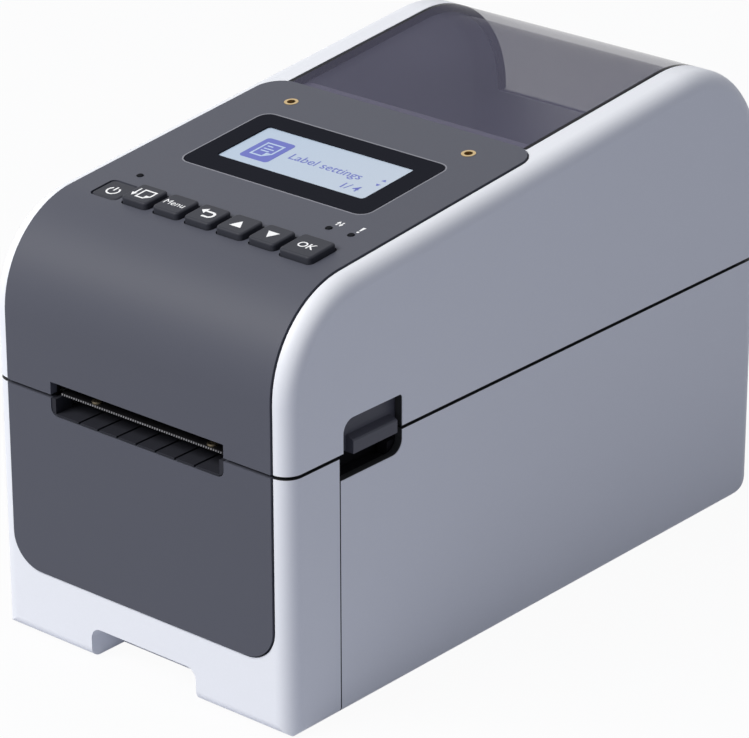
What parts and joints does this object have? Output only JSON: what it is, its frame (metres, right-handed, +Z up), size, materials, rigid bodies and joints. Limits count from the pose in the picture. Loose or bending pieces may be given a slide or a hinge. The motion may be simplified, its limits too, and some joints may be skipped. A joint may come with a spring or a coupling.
{
  "type": "desktop thermal label printer",
  "caption": "Desktop label printer: rounded two-part housing, hinged cover with keys, display and smoky roll window, front label exit, side release levers and a geared platen.",
  "frame": {"origin": "middle of the printer's footprint, on the surface that its feet stand on", "axes": "+X to the printer's right, the front faces -Y, +Z up"},
  "size_m": [0.11, 0.213, 0.1433],
  "materials": {
    "pale_shell": "fine satin texture",
    "dark_panel": "fine satin texture",
    "key_plastic": "smooth satin",
    "lever_plastic": "smooth satin",
    "black_plastic": "matte moulded",
    "smoky_window": "smoky clear plastic",
    "display_black": "polished",
    "screen_glass": "clear over a pale screen",
    "light_lens": "clear lens",
    "brass": "machined",
    "steel": "brushed",
    "pan_metal": "grey coat",
    "aluminium": "milled",
    "ceramic": "glazed",
    "rubber": "matte",
    "gear_plastic": "smooth",
    "circuit_board": "solder mask",
    "socket_shell": "plated",
    "socket_black": "moulded"
  },
  "bodies": {
    "base": {"lower_case": "pale_shell", "front_bezel": "pale_shell", "front_panel": "dark_panel", "exit_guide": "black_plastic", "base_plate": "pan_metal", "rubber_feet": "rubber", "case_screws": "steel", "inner_frame": "black_plastic", "front_frame": "black_plastic", "keeper_pins": "steel", "left_side_plate": "steel", "right_side_plate": "steel", "platen_bushes": "gear_plastic", "idler_stud": "steel", "drive_motor": "steel", "base_screws": "steel", "gap_sensor": "black_plastic", "main_board": "circuit_board", "network_socket": "socket_shell", "data_socket": "socket_shell", "power_inlet": "socket_black", "hinge_pins": "steel"},
    "cover": {"cover_shell": "pale_shell", "control_panel": "dark_panel", "roll_window": "smoky_window", "cover_liner": "black_plastic", "head_mount": "black_plastic", "tear_bar": "steel", "tear_screws": "brass", "head_pivot_pin": "steel", "head_springs": "steel", "control_board": "circuit_board", "control_board_screws": "steel", "key_pad": "rubber", "display_bezel": "display_black", "display_screen": "screen_glass", "display_module": "steel", "status_lights": "light_lens", "threaded_inserts": "brass"},
    "release": {"left_release_lever": "lever_plastic", "right_release_lever": "lever_plastic", "release_shaft": "steel", "release_spring": "steel"},
    "head": {"print_strip": "ceramic", "heat_sink": "aluminium"},
    "platen": {"platen_shaft": "steel", "platen_rubber": "rubber", "platen_gear": "gear_plastic"},
    "idler": {"idler_gear": "gear_plastic"},
    "motor_rotor": {"motor_pinion": "steel"},
    "left_guide": {"left_roll_guide": "black_plastic"},
    "right_guide": {"right_roll_guide": "black_plastic"},
    "guide_wheel": {"guide_pinion": "gear_plastic"},
    "power_button": {"power_key": "key_plastic"},
    "feed_button": {"feed_key": "key_plastic"},
    "menu_button": {"menu_key": "key_plastic"},
    "return_button": {"return_key": "key_plastic"},
    "up_button": {"up_key": "key_plastic"},
    "down_button": {"down_key": "key_plastic"},
    "ok_button": {"ok_key": "key_plastic"}
  },
  "joints": [
    {"name": "cover_hinge", "type": "hinge", "parent": "base", "child": "cover", "pos_m": [0, 0.1043, 0.07785], "axis": [-1, 0, 0], "range_deg": [0, 85]},
    {"name": "release_lift", "type": "hinge", "parent": "cover", "child": "release", "pos_m": [0, -0.048, 0.084], "axis": [-1, 0, 0], "range_deg": [0, 8], "stiffness_Nm_per_rad": 0.8},
    {"name": "head_rock", "type": "hinge", "parent": "cover", "child": "head", "pos_m": [0, -0.072, 0.08225], "axis": [-1, 0, 0], "range_deg": [0, 3], "stiffness_Nm_per_rad": 2, "springref_deg": -1.72},
    {"name": "platen_spin", "type": "hinge", "parent": "base", "child": "platen", "pos_m": [0, -0.0875, 0.06985], "axis": [1, 0, 0], "continuous": true},
    {"name": "idler_spin", "type": "hinge", "parent": "base", "child": "idler", "pos_m": [0, -0.08001, 0.0585], "axis": [1, 0, 0], "continuous": true},
    {"name": "motor_spin", "type": "hinge", "parent": "base", "child": "motor_rotor", "pos_m": [0, -0.06714, 0.04535], "axis": [1, 0, 0], "continuous": true},
    {"name": "left_guide_slide", "type": "slide", "parent": "base", "child": "left_guide", "axis": [1, 0, 0], "range_m": [0, 0.022]},
    {"name": "right_guide_slide", "type": "slide", "parent": "base", "child": "right_guide", "axis": [1, 0, 0], "range_m": [-0.022, 0]},
    {"name": "guide_wheel_spin", "type": "hinge", "parent": "base", "child": "guide_wheel", "pos_m": [0, -0.006, 0.007], "axis": [0, 0, 1], "range_deg": [0, 158]},
    {"name": "power_press", "type": "slide", "parent": "cover", "child": "power_button", "axis": [0, 0.1011, -0.9949], "range_m": [0, 0.001], "stiffness_N_per_m": 1200},
    {"name": "feed_press", "type": "slide", "parent": "cover", "child": "feed_button", "axis": [0, 0.1011, -0.9949], "range_m": [0, 0.001], "stiffness_N_per_m": 1200},
    {"name": "menu_press", "type": "slide", "parent": "cover", "child": "menu_button", "axis": [0, 0.1011, -0.9949], "range_m": [0, 0.001], "stiffness_N_per_m": 1200},
    {"name": "return_press", "type": "slide", "parent": "cover", "child": "return_button", "axis": [0, 0.1011, -0.9949], "range_m": [0, 0.001], "stiffness_N_per_m": 1200},
    {"name": "up_press", "type": "slide", "parent": "cover", "child": "up_button", "axis": [0, 0.1011, -0.9949], "range_m": [0, 0.001], "stiffness_N_per_m": 1200},
    {"name": "down_press", "type": "slide", "parent": "cover", "child": "down_button", "axis": [0, 0.1011, -0.9949], "range_m": [0, 0.001], "stiffness_N_per_m": 1200},
    {"name": "ok_press", "type": "slide", "parent": "cover", "child": "ok_button", "axis": [0, 0.1011, -0.9949], "range_m": [0, 0.001], "stiffness_N_per_m": 1200}
  ],
  "couplings": [
    {"joint": "idler_spin", "follows": "platen_spin", "ratio": -1.125},
    {"joint": "motor_spin", "follows": "platen_spin", "ratio": 2.1094},
    {"joint": "right_guide_slide", "follows": "left_guide_slide", "ratio": -1},
    {"joint": "guide_wheel_spin", "follows": "left_guide_slide", "rad_per_m": 125}
  ]
}
